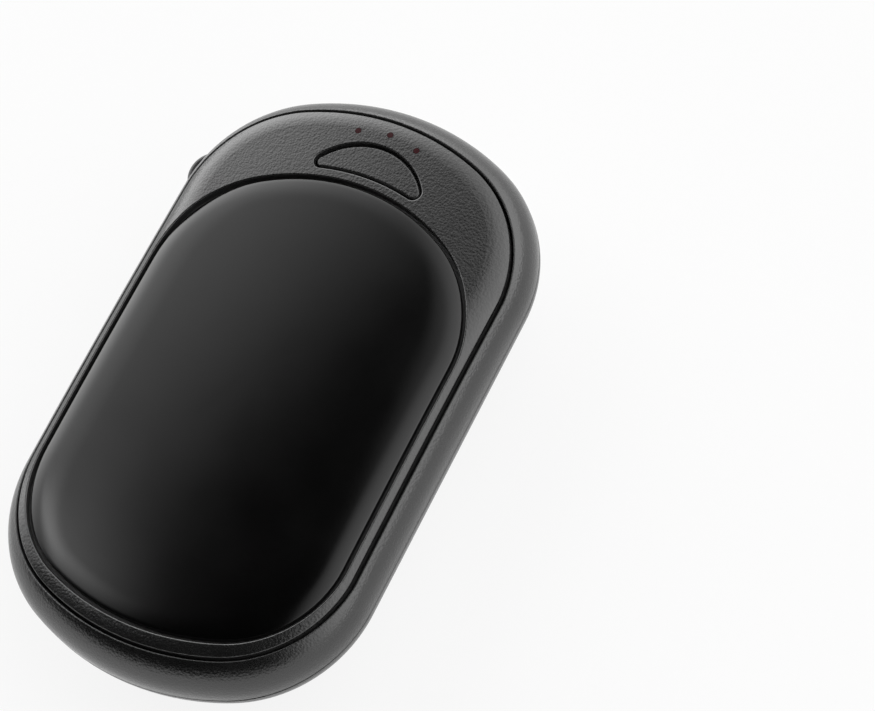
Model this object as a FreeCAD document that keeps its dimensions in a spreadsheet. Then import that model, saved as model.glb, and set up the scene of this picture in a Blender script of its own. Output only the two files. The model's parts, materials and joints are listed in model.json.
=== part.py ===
"""Rechargeable hand warmer: a pocket case with a heat panel, a press button and two cells.

Millimetres. The case lies on its flat back: +Z leaves the heat panel, +Y is the button end,
+X is the right-hand side seen from the front. The origin is the middle of the flat back.
"""
import FreeCAD
import Part
import Sketcher
import math
import os
import re

# Driving dimensions: one plain number for each size
SIZES = [
    # case plan and section
    ("case_half_width", 29.2), ("case_end_share", 1.3986), ("case_corner_share", 0.7384),
    ("rear_radius", 11.0), ("rear_shoulder", 4.0), ("rear_lean", 30.0), ("rear_wall", 0.3),
    ("shell_wall", 1.8), ("seam_drop", 2.25), ("seam_gap", 0.2), ("seam_edge", 0.15),
    ("lip_thickness", 0.8), ("lip_height", 1.0), ("crown_radius", 245.0), ("spine_radius", 873.0),
    ("rim_radius", 6.85), ("head_room", 1.05), ("fit_gap", 0.1), ("overrun", 1.0),
    # bezel
    ("bezel_side_inset", 2.11), ("bezel_end_inset", 3.96), ("bezel_end_share", 1.495),
    ("bezel_corner_share", 0.7254), ("bezel_gap", 0.4), ("bezel_thickness", 2.1), ("bezel_skirt", 1.4),
    ("bezel_edge", 0.2), ("ledge_rise", 2.3), ("ledge_thickness", 1.1),
    # heat panel and its film
    ("panel_side_inset", 1.56), ("panel_bottom_inset", 2.51), ("panel_top_share", 1.2761),
    ("panel_top_corner_share", 0.7568), ("panel_bottom_share", 1.5742), ("panel_bottom_corner_share", 0.6917),
    ("panel_gap", 0.6), ("panel_thickness", 1.2), ("panel_edge", 0.3), ("window_inset", 3.2),
    ("film_thickness", 0.25), ("film_border", 1.2),
    # power button
    ("button_base_rise", 1.69), ("button_depth", 5.75), ("button_crown_radius", 10.9),
    ("button_tip_radius", 1.3), ("button_gap", 0.4), ("button_sink", 0.35), ("button_flange", 0.8),
    ("button_flange_thickness", 0.6), ("button_flange_gap", 0.2), ("button_edge", 0.3),
    ("plunger_radius", 1.6), ("rest_gap", 0.05),
    # indicator lights
    ("light_button_gap", 2.11), ("light_edge_gap", 2.38), ("light_drop", 1.01), ("light_offset", 5.0),
    ("light_radius", 0.45), ("collar_radius", 0.65), ("collar_height", 0.6), ("collar_gap", 0.3),
    ("led_length", 1.6), ("led_width", 0.8), ("led_height", 0.6),
    # control board
    ("board_side_gap", 1.24), ("board_tip_inset", 4.5), ("board_back_gap", 2.2), ("board_front_gap", 0.35),
    ("board_shoulder", 5.9), ("board_thickness", 1.2), ("chip_side", 4.0), ("chip_height", 0.9),
    ("driver_length", 4.9), ("driver_width", 3.9), ("driver_height", 1.5), ("inductor_side", 4.4),
    ("inductor_height", 2.6), ("inductor_edge", 0.6), ("chip_offset", 9.0), ("chip_rise", 2.5),
    ("inductor_offset", 8.7), ("inductor_rise", 1.7),
    # tactile switch
    ("switch_side", 6.0), ("switch_height", 3.5), ("switch_rise", 4.24), ("switch_wall", 0.5),
    ("switch_floor", 0.4), ("switch_roof", 1.2), ("stem_radius", 1.65), ("stem_clearance", 0.08),
    ("stem_height", 0.8), ("stem_flange", 0.5), ("stem_flange_thickness", 0.4), ("dome_radius", 2.2),
    ("dome_thickness", 0.1), ("dome_height", 0.7),
    # charging port
    ("port_drop", 3.45), ("usb_width", 8.94), ("usb_height", 3.26), ("usb_length", 7.35), ("usb_wall", 0.3),
    ("usb_corner", 1.3), ("usb_back", 0.9), ("tongue_width", 6.7), ("tongue_thickness", 0.7),
    ("tongue_length", 5.2), ("bay_flare", 3.6), ("bay_half_width", 7.4), ("bay_depth", 3.2),
    ("bay_drop", 3.45), ("bay_shoulder", 0.55), ("surround_side", 2.0), ("surround_thickness", 1.3),
    ("surround_floor", 1.2),
    # lanyard loop
    ("loop_radius", 3.4), ("loop_bar_radius", 0.65), ("loop_stand", 0.5), ("loop_rise", 1.9),
    ("lanyard_turn", 10.5), ("scoop_radius", 2.2), ("scoop_depth", 1.4), ("scoop_reach", 3.6),
    # cells and what holds them
    ("cell_radius", 9.2), ("cell_length", 65.0), ("cell_gap", 0.8), ("cell_edge", 0.8), ("rear_gap", 1.49),
    ("cradle_floor", 0.3), ("cradle_height", 6.0), ("cradle_side", 0.7), ("cradle_end_inset", 7.0),
    ("strip_thickness", 0.2), ("strip_height", 6.0), ("strip_overlap", 3.0), ("pad_half_width", 7.5),
    ("pad_end_inset", 10.5), ("pad_gap", 0.05), ("pad_rise", 4.8),
    # rear heater
    ("plate_thickness", 0.4), ("plate_side_inset", 13.2), ("plate_end_inset", 4.0), ("plate_corner", 9.0),
    ("rear_film_border", 1.6), ("tab_side", 1.4), ("tab_reach", 0.7),
    # sensor and leads
    ("sensor_radius", 0.9), ("sensor_length", 2.6), ("sensor_gap", 0.3), ("sensor_lead_radius", 0.25),
    ("sensor_lead_offset", 0.5), ("sensor_lead_run", 1.2), ("lead_radius", 0.5), ("lead_bend", 0.8),
    ("lead_pad", 0.9), ("lead_gap", 0.7), ("lead_touch", 0.02), ("rear_lead_offset", 6.0),
    ("front_lead_offset", 2.5), ("front_lead_inset", 1.6), ("front_lead_drop", 1.9), ("supply_offset", 6.0),
    ("supply_rise", 2.2), ("return_rise", 4.0),
    # fasteners and posts
    ("screw_radius", 1.0), ("screw_length", 8.0), ("screw_relief", 0.5), ("thread_gap", 0.05),
    ("head_radius", 1.5), ("head_height", 1.2), ("head_gap", 0.4), ("post_wall", 1.4), ("post_turn", 40.7),
    ("board_post_wall", 1.0), ("board_post_inset", 3.1), ("board_post_rise", 2.6),
    ("board_screw_length", 5.0), ("drive_width", 0.4), ("drive_length", 1.8), ("drive_depth", 0.6),
]
LOOP_TURN = 100.0
UPRIGHT_SHARE = 0.05
UPWARD_SHARE = 0.15
DIGIT_COUNT = 5

ALIASES = {alias for alias, _ in SIZES}

# Derived sizes, written in the ones above: radii of the plan outlines
CASE_END = "case_half_width * case_end_share"
CASE_CORNER = "case_half_width * case_corner_share"
BEZEL_HALF = "case_half_width - bezel_side_inset"
BEZEL_END = f"({BEZEL_HALF}) * bezel_end_share"
BEZEL_CORNER = f"({BEZEL_HALF}) * bezel_corner_share"
PANEL_HALF = f"{BEZEL_HALF} - panel_side_inset"
PANEL_TOP_END = f"({PANEL_HALF}) * panel_top_share"
PANEL_TOP_CORNER = f"({PANEL_HALF}) * panel_top_corner_share"
PANEL_LOW_END = f"({PANEL_HALF}) * panel_bottom_share"
PANEL_LOW_CORNER = f"({PANEL_HALF}) * panel_bottom_corner_share"

# Places along the case
POST_RADIUS = "screw_radius + post_wall"
POST_INSET = "bezel_gap / 2 + bezel_skirt + head_radius + head_gap"
PANEL_TOP_INSET = "light_edge_gap + light_button_gap + button_depth + button_base_rise"
LEAD_ROOM = "lead_gap + lead_radius + lead_pad + board_back_gap"
FRONT_ROOM = f"bezel_end_inset + {PANEL_TOP_INSET} - switch_rise + switch_side / 2 + {LEAD_ROOM}"
REAR_ROOM = f"bezel_end_inset + {POST_INSET} + {POST_RADIUS} + rear_gap"
CASE_HALF_LENGTH = f"(cell_length + {FRONT_ROOM} + {REAR_ROOM}) / 2"
BEZEL_TOP = f"{CASE_HALF_LENGTH} - bezel_end_inset"
PANEL_TOP = f"{BEZEL_TOP} - ({PANEL_TOP_INSET})"
PANEL_BOTTOM = f"{BEZEL_TOP} - panel_bottom_inset"
SWITCH_Y = f"{PANEL_TOP} + switch_rise"
PAD_Y = f"{SWITCH_Y} - switch_side / 2 - lead_gap - lead_radius"
BOARD_BACK = f"{PAD_Y} - lead_pad"
CELL_FRONT = f"{BOARD_BACK} - board_back_gap"
CELL_BACK = f"{CELL_FRONT} - cell_length"
PORT_FACE = f"{CASE_HALF_LENGTH} - bay_depth"
PORT_BACK = f"{PORT_FACE} - usb_length"
BOARD_FRONT = f"{PORT_FACE} - surround_thickness - board_front_gap"
BOARD_POST_Y = f"{BOARD_BACK} + board_post_rise"
LIGHT_MIDDLE_Y = f"{BEZEL_TOP} - light_edge_gap"
LIGHT_SIDE_Y = f"{LIGHT_MIDDLE_Y} - light_drop"

# Places across the case
CELL_OFFSET = "cell_radius + cell_gap / 2"
CORNER_RISE = f"sqrt(({BEZEL_END} - {BEZEL_CORNER}) ^ 2 - ({BEZEL_HALF} - {BEZEL_CORNER}) ^ 2)"
POST_REACH = f"({BEZEL_CORNER} - ({POST_INSET}))"
POST_X = f"{BEZEL_HALF} - {BEZEL_CORNER} + {POST_REACH} * cos(post_turn)"
POST_TOP_Y = f"{BEZEL_TOP} - {BEZEL_END} + {CORNER_RISE} + {POST_REACH} * sin(post_turn)"
POST_BOTTOM_Y = f"{POST_INSET} - ({BEZEL_TOP})"
BOARD_HALF = f"{POST_X} - ({POST_RADIUS}) - board_side_gap"
BOARD_POST_X = f"{BOARD_HALF} - board_post_inset"
PLATE_HALF = "case_half_width - plate_side_inset"
BAY_MOUTH = "bay_half_width + bay_flare"
SIDE_RISE = f"sqrt(({CASE_END} - {CASE_CORNER}) ^ 2 - (case_half_width - {CASE_CORNER}) ^ 2)"
SIDE_X = f"{CASE_CORNER} - case_half_width"
SIDE_Y = f"{CASE_HALF_LENGTH} - {CASE_END} + {SIDE_RISE}"

# Levels above the back
PLATE_LEVEL = "shell_wall + film_thickness"
CRADLE_LEVEL = f"{PLATE_LEVEL} + plate_thickness"
CELL_LEVEL = f"{CRADLE_LEVEL} + cradle_floor + fit_gap + cell_radius"
CROWN_HEIGHT = f"{CELL_LEVEL} + cell_radius + head_room + bezel_thickness"
SEAM_HEIGHT = f"{CROWN_HEIGHT} - rim_radius - seam_drop"
REAR_TOP = f"{SEAM_HEIGHT} - seam_gap / 2"
FRONT_FLOOR = f"{SEAM_HEIGHT} + seam_gap / 2"
LEAN_LEVEL = f"{REAR_TOP} - rear_wall - rear_shoulder * tan(rear_lean / 2)"
LIP_TOP = f"{SEAM_HEIGHT} + lip_height"
LEDGE_TOP = f"{SEAM_HEIGHT} + ledge_rise"
LEDGE_FLOOR = f"{LEDGE_TOP} - ledge_thickness"
LOOP_LEVEL = f"{SEAM_HEIGHT} + loop_rise"
PORT_HEIGHT = f"{SEAM_HEIGHT} - port_drop"
BAY_FLOOR = f"{PORT_HEIGHT} - bay_drop"
BOARD_LEVEL = f"{PORT_HEIGHT} + usb_height / 2"
BOARD_TOP = f"{BOARD_LEVEL} + board_thickness"
SWITCH_FLOOR = f"{BOARD_TOP} + switch_floor"
SWITCH_ROOF = f"{BOARD_TOP} + switch_height - switch_roof"
STEM_TOP = f"{BOARD_TOP} + switch_height + stem_height"
UNDERSIDE = f"{CROWN_HEIGHT} - bezel_thickness - ({LIGHT_MIDDLE_Y}) ^ 2 / (2 * spine_radius)"
FLANGE_TOP = f"{UNDERSIDE} - button_flange_gap"
FLANGE_FLOOR = f"{FLANGE_TOP} - button_flange_thickness"
ABOVE = f"{CROWN_HEIGHT} + overrun"

# Plan outlines: half width, top reach, bottom reach, then end and corner radii at top and bottom
CASE = ("case_half_width", CASE_HALF_LENGTH, CASE_HALF_LENGTH,
        CASE_END, CASE_CORNER, CASE_END, CASE_CORNER)
BEZEL = (BEZEL_HALF, BEZEL_TOP, BEZEL_TOP, BEZEL_END, BEZEL_CORNER, BEZEL_END, BEZEL_CORNER)
PANEL = (PANEL_HALF, PANEL_TOP, PANEL_BOTTOM,
         PANEL_TOP_END, PANEL_TOP_CORNER, PANEL_LOW_END, PANEL_LOW_CORNER)

doc = FreeCAD.newDocument("hand_warmer")
sheet = doc.addObject("Spreadsheet::Sheet", "Sheet")
for row, (alias, number) in enumerate(SIZES, start=1):
    sheet.set(f"A{row}", alias)
    sheet.set(f"B{row}", str(number))
    sheet.setAlias(f"B{row}", alias)
doc.recompute()
sub_parts = []


def expression(text):
    """Point each size named in text at its cell."""
    return re.sub(r"[a-z]\w*", lambda found: f"Sheet.{found[0]}" if found[0] in ALIASES else found[0], text)


def value(text):
    return float(sheet.evalExpression(expression(text)))


def point(x, y, z):
    return FreeCAD.Vector(value(x), value(y), value(z))


def bind(item, **texts):
    for name, text in texts.items():
        item.setExpression(name, expression(text))
    return item


def place(item, x="0", y="0", z="0"):
    for axis, text in zip("xyz", (x, y, z)):
        item.setExpression(f"Placement.Base.{axis}", expression(text))
    return item


def sub_part(item, label):
    """Give a finished piece its name and keep it for writing."""
    item.Label = label
    sub_parts.append(item)
    return item


# Sketches and bodies
def new_sketch(body, name, role, height="0"):
    sketch = body.newObject("Sketcher::SketchObject", name)
    plane = next(item for item in body.Origin.OriginFeatures if item.Role == role)
    sketch.AttachmentSupport = [(plane, "")]
    sketch.MapMode = "FlatFace"
    sketch.setExpression("AttachmentOffset.Base.z", expression(height))
    return sketch


def fix(sketch, kind, *where_and_text):
    """Add a dimension and bind it to the sheet."""
    *where, text = where_and_text
    index = sketch.addConstraint(Sketcher.Constraint(kind, *where, value(text)))
    sketch.setExpression(f"Constraints[{index}]", expression(text))


def arc(x, y, radius, start, end):
    circle = Part.Circle(FreeCAD.Vector(x, y, 0), FreeCAD.Vector(0, 0, 1), radius)
    return Part.ArcOfCircle(circle, start, end)


def line(x0, y0, x1, y1):
    return Part.LineSegment(FreeCAD.Vector(x0, y0, 0), FreeCAD.Vector(x1, y1, 0))


def inset(outline, amount):
    return tuple(f"({text}) - ({amount})" for text in outline)


def outline_sketch(body, name, outline, height):
    """Two straight sides, each end closed by one large arc between two corner arcs."""
    width, top, bottom, top_end, top_corner, bottom_end, bottom_corner = outline
    side = value(width)

    def end(reach, end_radius, corner_radius):
        middle = value(reach) - value(end_radius)
        across = side - value(corner_radius)
        corner = middle + math.sqrt((value(end_radius) - value(corner_radius)) ** 2 - across ** 2)
        return middle, corner, across, math.atan2(corner - middle, across)

    top_middle, top_y, top_x, top_turn = end(top, top_end, top_corner)
    low_middle, low_y, low_x, low_turn = end(bottom, bottom_end, bottom_corner)
    half = math.pi
    sketch = new_sketch(body, name, "XY_Plane", height)
    sketch.addGeometry([
        line(side, -low_y, side, top_y),
        arc(top_x, top_y, value(top_corner), 0, top_turn),
        arc(0, top_middle, value(top_end), top_turn, half - top_turn),
        arc(-top_x, top_y, value(top_corner), half - top_turn, half),
        line(-side, top_y, -side, -low_y),
        arc(-low_x, -low_y, value(bottom_corner), half, half + low_turn),
        arc(0, -low_middle, value(bottom_end), half + low_turn, 2 * half - low_turn),
        arc(low_x, -low_y, value(bottom_corner), 2 * half - low_turn, 2 * half)], False)
    for index in range(8):
        sketch.addConstraint(Sketcher.Constraint("Tangent", index, 2, (index + 1) % 8, 1))
    for index in (0, 4):
        sketch.addConstraint(Sketcher.Constraint("Vertical", index))
    for index in (2, 6):
        sketch.addConstraint(Sketcher.Constraint("PointOnObject", index, 3, -2))
    for index, text in ((1, top_corner), (3, top_corner), (2, top_end),
                        (5, bottom_corner), (7, bottom_corner), (6, bottom_end)):
        fix(sketch, "Radius", index, text)
    fix(sketch, "DistanceX", -1, 1, 0, 1, width)
    fix(sketch, "DistanceX", 4, 1, -1, 1, width)
    fix(sketch, "DistanceY", -1, 1, 2, 3, f"({top}) - ({top_end})")
    fix(sketch, "DistanceY", 6, 3, -1, 1, f"({bottom}) - ({bottom_end})")
    return sketch


def pad(body, sketch, length):
    feature = body.newObject("PartDesign::Pad", f"{sketch.Name}_pad")
    feature.Profile = sketch
    bind(feature, Length=length)
    sketch.Visibility = False
    doc.recompute()
    return feature


def prism(name, outline, low, high):
    body = doc.addObject("PartDesign::Body", name)
    pad(body, outline_sketch(body, f"{name}_plan", outline, low), f"({high}) - ({low})")
    return body


def edge_names(base, chosen):
    """Names of the edges of base that pass the test."""
    return [f"Edge{index}" for index, edge in enumerate(base.Shape.Edges, start=1) if chosen(edge)]


def at_level(text):
    """A test for edges that lie at one level."""
    level = value(text)
    return lambda edge: all(round(v.Z - level, DIGIT_COUNT) == 0 for v in edge.Vertexes)


def round_edges(body, base, chosen, radius):
    """Fillet the edges of base that pass the test."""
    fillet = body.newObject("PartDesign::Fillet", f"{body.Name}_round")
    fillet.Base = (base, edge_names(base, chosen))
    bind(fillet, Radius=radius)
    doc.recompute()
    return fillet


def bowl(name, depth):
    """The rear form drawn in by depth: a round shoulder, a leaning side and a round to the flat back."""
    body = doc.addObject("PartDesign::Body", name)
    plan = outline_sketch(body, f"{name}_plan", inset(CASE, depth), depth)
    block = pad(body, plan, f"{REAR_TOP} - ({depth})")
    lean_level = f"{LEAN_LEVEL} + ({depth}) * tan(rear_lean / 2)"
    rise = f"{lean_level} - ({depth})"
    bevel = body.newObject("PartDesign::Chamfer", f"{name}_bevel")
    bevel.ChamferType = "Two distances"
    bevel.Base = (block, edge_names(block, at_level(depth)))
    bind(bevel, Size=rise, Size2=f"({rise}) * tan(rear_lean)")
    doc.recompute()
    shoulder = round_edges(body, bevel, at_level(lean_level), f"rear_shoulder - ({depth})")
    round_edges(body, shoulder, at_level(depth), f"rear_radius - ({depth})")
    return body


def dome(name, depth):
    """The front form drawn in by depth: upright sides, a rounded rim and a barrel crown."""
    body = doc.addObject("PartDesign::Body", name)
    base = FRONT_FLOOR
    top = f"({CROWN_HEIGHT}) - ({depth})"
    plan = outline_sketch(body, f"{name}_plan", inset(CASE, depth), base)
    pad(body, plan, f"({top}) - ({base}) + overrun")
    sketch = new_sketch(body, f"{name}_crown", "XZ_Plane")
    side = value("case_half_width + overrun")
    radius = value(f"crown_radius - ({depth})")
    apex = value(top)
    roof = apex + value("rim_radius")
    edge = math.asin(side / radius)
    spine = apex - value(f"spine_radius - ({depth})")
    shoulder = apex - radius + radius * math.cos(edge)
    sketch.addGeometry([
        arc(0, apex - radius, radius, math.pi / 2 - edge, math.pi / 2 + edge),
        line(-side, shoulder, -side, roof),
        line(-side, roof, side, roof),
        line(side, roof, side, shoulder)], False)
    sketch.addGeometry(line(-side, spine, side, spine), True)
    for first, second in ((0, 1), (1, 2), (2, 3)):
        sketch.addConstraint(Sketcher.Constraint("Coincident", first, 2, second, 1))
    sketch.addConstraint(Sketcher.Constraint("Coincident", 3, 2, 0, 1))
    for index in (1, 3):
        sketch.addConstraint(Sketcher.Constraint("Vertical", index))
    for index in (2, 4):
        sketch.addConstraint(Sketcher.Constraint("Horizontal", index))
    sketch.addConstraint(Sketcher.Constraint("PointOnObject", 0, 3, -2))
    fix(sketch, "Radius", 0, f"crown_radius - ({depth})")
    fix(sketch, "DistanceY", 0, 3, -1, 1, f"crown_radius - ({depth}) - ({top})")
    fix(sketch, "DistanceX", -1, 1, 2, 2, "case_half_width + overrun")
    fix(sketch, "DistanceX", 2, 1, -1, 1, "case_half_width + overrun")
    fix(sketch, "DistanceY", -1, 1, 2, 1, f"({top}) + rim_radius")
    fix(sketch, "DistanceY", 4, 1, -1, 1, f"spine_radius - ({depth}) - ({top})")
    fix(sketch, "DistanceX", 4, 1, -1, 1, "case_half_width + overrun")
    fix(sketch, "DistanceX", -1, 1, 4, 2, "case_half_width + overrun")
    sweep = 2 * math.degrees(math.asin(value(f"({CASE_HALF_LENGTH}) + overrun") / value("spine_radius")))
    crown = body.newObject("PartDesign::Groove", f"{name}_crown_cut")
    crown.Profile = sketch
    crown.ReferenceAxis = (sketch, ["Axis0"])
    crown.Angle = sweep
    crown.Midplane = True
    doc.recompute()
    bottom = value(base)
    round_edges(body, crown, lambda rim: all(round(v.Z - bottom, DIGIT_COUNT) > 0 for v in rim.Vertexes),
                f"rim_radius - ({depth})")
    return body


# Primitives and booleans
def block(name, x0, x1, y0, y1, z0, z1):
    item = doc.addObject("Part::Box", name)
    bind(item, Length=f"({x1}) - ({x0})", Width=f"({y1}) - ({y0})", Height=f"({z1}) - ({z0})")
    return place(item, x0, y0, z0)


def rod(name, radius, x, y, low, high):
    """An upright cylinder."""
    item = doc.addObject("Part::Cylinder", name)
    bind(item, Radius=radius, Height=f"({high}) - ({low})")
    return place(item, x, y, low)


def lying_rod(name, radius, x, z, y0, y1):
    """A cylinder along Y."""
    item = doc.addObject("Part::Cylinder", name)
    bind(item, Radius=radius, Height=f"({y1}) - ({y0})")
    item.Placement = FreeCAD.Placement(FreeCAD.Vector(), FreeCAD.Rotation(FreeCAD.Vector(1, 0, 0), -90))
    return place(item, x, y0, z)


def fuse(name, *shapes):
    item = doc.addObject("Part::MultiFuse", name)
    item.Shapes = list(shapes)
    return item


def common(name, *shapes):
    item = doc.addObject("Part::MultiCommon", name)
    item.Shapes = list(shapes)
    return item


def cut(name, base, *tools):
    item = doc.addObject("Part::Cut", name)
    item.Base = base
    item.Tool = tools[0] if len(tools) == 1 else fuse(f"{name}_tools", *tools)
    return item


def group(name, items):
    """Separate solids kept in one node."""
    item = doc.addObject("Part::Compound", name)
    item.Links = list(items)
    return item


def on_plan(plan, spot):
    """Whether a spot lies above the lines of a plan sketch."""
    lines = doc.getObject(plan).Shape.copy()
    lines.translate(FreeCAD.Vector(0, 0, spot.z - lines.BoundBox.Center.z))
    return round(lines.distToShape(Part.Vertex(spot))[0], DIGIT_COUNT) == 0


def crest_edges(shape, plans):
    """Edges over the plans where an upright wall meets a face that looks up."""
    chosen = []
    for index, edge in enumerate(shape.Edges, start=1):
        faces = shape.ancestorsOfType(edge, Part.Face)
        middle = edge.valueAt((edge.FirstParameter + edge.LastParameter) / 2)
        lean = sorted(face.normalAt(*face.Surface.parameter(middle)).z for face in faces)
        crest = len(lean) == 2 and abs(lean[0]) < UPRIGHT_SHARE and lean[1] > UPWARD_SHARE
        if crest and any(on_plan(plan, middle) for plan in plans):
            chosen.append(index)
    return chosen


def soften(name, base, radius, *plans):
    """Round the crest edges of base that stand over the plans."""
    doc.recompute()
    size = value(radius)
    item = doc.addObject("Part::Fillet", name)
    item.Base = base
    item.Edges = [(index, size, size) for index in crest_edges(base.Shape, plans)]
    return item


def rounded_block(name, x0, x1, y0, y1, z0, z1, radius):
    """A block whose four edges along Y are rounded."""
    base = block(f"{name}_block", x0, x1, y0, y1, z0, z1)
    doc.recompute()
    size = value(radius)
    length = value(f"({y1}) - ({y0})")
    item = doc.addObject("Part::Fillet", name)
    item.Base = base
    item.Edges = [(index, size, size) for index, edge in enumerate(base.Shape.Edges, start=1)
                  if round(abs(edge.tangentAt(edge.FirstParameter).y) - 1, DIGIT_COUNT) == 0
                  and round(edge.Length - length, DIGIT_COUNT) == 0]
    return item


def upright_rounds(name, base, radius):
    """Round the upright edges of a block."""
    doc.recompute()
    size = value(radius)
    item = doc.addObject("Part::Fillet", name)
    item.Base = base
    item.Edges = [(index, size, size) for index, edge in enumerate(base.Shape.Edges, start=1)
                  if round(abs(edge.tangentAt(edge.FirstParameter).z) - 1, DIGIT_COUNT) == 0]
    return item


def lead(name, radius, *stops):
    """A round wire on straight runs joined by tangent arcs of the lead's own bend."""
    points = [point(*stop) for stop in stops]
    bend = value("lead_bend")
    edges = []
    start = points[0]
    for before, corner, after in zip(points, points[1:], points[2:]):
        back = (before - corner).normalize()
        ahead = (after - corner).normalize()
        reach = bend / math.tan(back.getAngle(ahead) / 2)
        enter = corner + back * reach
        leave = corner + ahead * reach
        toward = (back + ahead).normalize()
        middle = corner + toward * (bend / math.sin(back.getAngle(ahead) / 2) - bend)
        edges.append(Part.LineSegment(start, enter).toShape())
        edges.append(Part.Arc(enter, middle, leave).toShape())
        start = leave
    edges.append(Part.LineSegment(start, points[-1]).toShape())
    path = Part.Wire(edges)
    ring = Part.Wire(Part.makeCircle(value(radius), points[0], points[1] - points[0]))
    item = doc.addObject("Part::Feature", name)
    item.Shape = path.makePipeShell([ring], True, False)
    return item


# Forms shared by several pieces
case_front = dome("case_front", "0")
case_rear = bowl("case_rear", "0")
case_hollow = bowl("case_hollow", "shell_wall")
inner_room = bowl("inner_room", "shell_wall + fit_gap")
panel_back = dome("panel_back", "panel_thickness")
panel_seat = dome("panel_seat", "panel_thickness + fit_gap")
film_back = dome("film_back", "panel_thickness + fit_gap + film_thickness")
bezel_back = dome("bezel_back", "bezel_thickness")
button_face = dome("button_face", "button_sink")
post_places = [(f"-({POST_X})", POST_TOP_Y), (POST_X, POST_TOP_Y), ("0", POST_BOTTOM_Y)]
board_post_places = [(f"-({BOARD_POST_X})", BOARD_POST_Y), (BOARD_POST_X, BOARD_POST_Y)]


def bay_tool():
    """The charging bay in plan: a straight floor with an S curve out to the case at each side."""
    body = doc.addObject("PartDesign::Body", "bay_tool")
    sketch = new_sketch(body, "bay_plan", "XY_Plane", BAY_FLOOR)
    inner = value("bay_half_width")
    mouth = value(BAY_MOUTH)
    floor = value(PORT_FACE)
    shoulder = value(f"({CASE_HALF_LENGTH}) - bay_shoulder")
    outside = value(f"({CASE_HALF_LENGTH}) + overrun")
    rise = shoulder - floor
    run = mouth - inner
    bend = (rise ** 2 + run ** 2) / (4 * rise)
    turn = 2 * math.atan2(rise, run)
    quarter = math.pi / 2
    sketch.addGeometry([
        line(-inner, floor, inner, floor),
        arc(inner, floor + bend, bend, -quarter, turn - quarter),
        arc(mouth, shoulder - bend, bend, quarter, quarter + turn),
        line(mouth, shoulder, mouth, outside), line(mouth, outside, -mouth, outside),
        line(-mouth, outside, -mouth, shoulder),
        arc(-mouth, shoulder - bend, bend, quarter - turn, quarter),
        arc(-inner, floor + bend, bend, -quarter - turn, -quarter)], False)
    for first, end, second, start in ((0, 2, 1, 1), (1, 2, 2, 2), (6, 1, 7, 1), (7, 2, 0, 1)):
        sketch.addConstraint(Sketcher.Constraint("Tangent", first, end, second, start))
    for first, end, second, start in ((2, 1, 3, 1), (3, 2, 4, 1), (4, 2, 5, 1), (5, 2, 6, 2)):
        sketch.addConstraint(Sketcher.Constraint("Coincident", first, end, second, start))
    for index in (3, 5):
        sketch.addConstraint(Sketcher.Constraint("Vertical", index))
    for index in (0, 4):
        sketch.addConstraint(Sketcher.Constraint("Horizontal", index))
    for first, second in ((1, 2), (6, 7)):
        sketch.addConstraint(Sketcher.Constraint("Equal", first, second))
    fix(sketch, "DistanceY", -1, 1, 0, 1, PORT_FACE)
    fix(sketch, "DistanceX", 0, 1, -1, 1, "bay_half_width")
    fix(sketch, "DistanceX", -1, 1, 0, 2, "bay_half_width")
    fix(sketch, "DistanceX", -1, 1, 3, 1, BAY_MOUTH)
    fix(sketch, "DistanceX", 5, 2, -1, 1, BAY_MOUTH)
    fix(sketch, "DistanceX", -1, 1, 2, 3, BAY_MOUTH)
    fix(sketch, "DistanceX", 6, 3, -1, 1, BAY_MOUTH)
    fix(sketch, "DistanceY", -1, 1, 3, 1, f"({CASE_HALF_LENGTH}) - bay_shoulder")
    fix(sketch, "DistanceY", -1, 1, 5, 2, f"({CASE_HALF_LENGTH}) - bay_shoulder")
    fix(sketch, "DistanceY", -1, 1, 3, 2, f"({CASE_HALF_LENGTH}) + overrun")
    pad(body, sketch, f"{FRONT_FLOOR} - ({BAY_FLOOR})")
    return body


def lip_gap_tool():
    """Clears the lip across the charging bay."""
    return block("lip_gap", f"-({BAY_MOUTH})", BAY_MOUTH, PORT_FACE, f"{CASE_HALF_LENGTH} + overrun",
                 f"{SEAM_HEIGHT} - seam_gap", f"{LIP_TOP} + overrun")


def at_lanyard(item, stand, z):
    """Put a piece at the left shoulder, its middle standing out from the case side by stand."""
    reach = f"({CASE_CORNER} + {stand})"
    x = f"{SIDE_X} - {reach} * cos(lanyard_turn)"
    y = f"{SIDE_Y} + {reach} * sin(lanyard_turn)"
    return place(item, x, y, z)


def lanyard_ring(name, bar_radius):
    """The bar of the lanyard loop: a short stretch of a ring that leaves the case and comes back."""
    item = doc.addObject("Part::Torus", name)
    bind(item, Radius1="loop_radius", Radius2=bar_radius)
    item.Angle3 = LOOP_TURN
    turn = 180 - value("lanyard_turn") - LOOP_TURN / 2
    item.Placement = FreeCAD.Placement(FreeCAD.Vector(), FreeCAD.Rotation(FreeCAD.Vector(0, 0, 1), turn))
    return at_lanyard(item, "loop_stand - loop_radius", LOOP_LEVEL)


def lanyard_scoop():
    """The hollow behind the loop that lets a cord pass."""
    item = doc.addObject("Part::Cylinder", "lanyard_scoop")
    bind(item, Radius="scoop_radius", Height="2 * scoop_reach")
    return at_lanyard(item, "scoop_radius - scoop_depth", f"{LOOP_LEVEL} - scoop_reach")


bay = bay_tool()
scoop = lanyard_scoop()


def usb_block(name, grow, y0, y1):
    """The rounded section of the charging socket, grown or shrunk all round."""
    half_width = f"usb_width / 2 + ({grow})"
    half_height = f"usb_height / 2 + ({grow})"
    return rounded_block(name, f"-({half_width})", half_width, y0, y1, f"{PORT_HEIGHT} - ({half_height})",
                         f"{PORT_HEIGHT} + {half_height}", f"usb_corner + ({grow})")


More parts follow.
